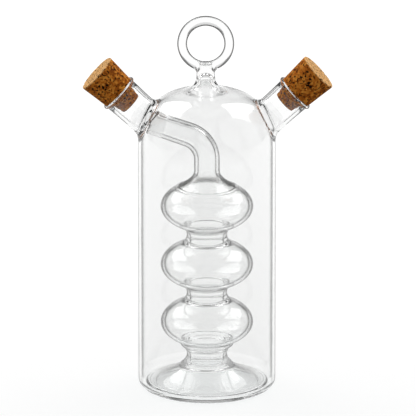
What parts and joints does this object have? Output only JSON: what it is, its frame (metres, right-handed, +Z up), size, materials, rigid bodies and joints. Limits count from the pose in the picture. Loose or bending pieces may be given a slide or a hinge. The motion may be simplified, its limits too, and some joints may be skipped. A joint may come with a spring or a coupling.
{
  "type": "oil and vinegar dispenser",
  "caption": "Clear glass two-in-one oil and vinegar bottle: a stack of flattened bulbs inside a straight bottle, slanted spouts with tapered corks, and a hanging ring on top.",
  "frame": {"origin": "centre of the bottle's underside, on the surface that it stands on", "axes": "+Z up along the bottle's axis, +X towards the right spout, which opens into the outer bottle, +Y to the back"},
  "size_m": [0.1339, 0.075, 0.2085],
  "materials": {
    "borosilicate_glass": "clear colourless borosilicate glass, flame-polished, with slight ripples at the melted joints",
    "agglomerated_cork": "pressed cork granules, ground to a taper, dry and matt with dark pits"
  },
  "bodies": {
    "vessel": {"base": "borosilicate_glass", "outer_body": "borosilicate_glass", "bell_foot": "borosilicate_glass", "lower_neck": "borosilicate_glass", "lower_bulb": "borosilicate_glass", "middle_neck": "borosilicate_glass", "middle_bulb": "borosilicate_glass", "upper_neck": "borosilicate_glass", "upper_bulb": "borosilicate_glass", "elbow_tube": "borosilicate_glass", "left_spout": "borosilicate_glass", "right_spout": "borosilicate_glass", "hanging_ring": "borosilicate_glass", "ring_stem": "borosilicate_glass"},
    "left_stopper": {"left_cork": "agglomerated_cork"},
    "right_stopper": {"right_cork": "agglomerated_cork"}
  },
  "joints": [
    {"name": "left_cork_pull", "type": "slide", "parent": "vessel", "child": "left_stopper", "axis": [-0.7314, 0, 0.682], "range_m": [0, 0.035]},
    {"name": "right_cork_pull", "type": "slide", "parent": "vessel", "child": "right_stopper", "axis": [0.7314, 0, 0.682], "range_m": [0, 0.035]}
  ]
}
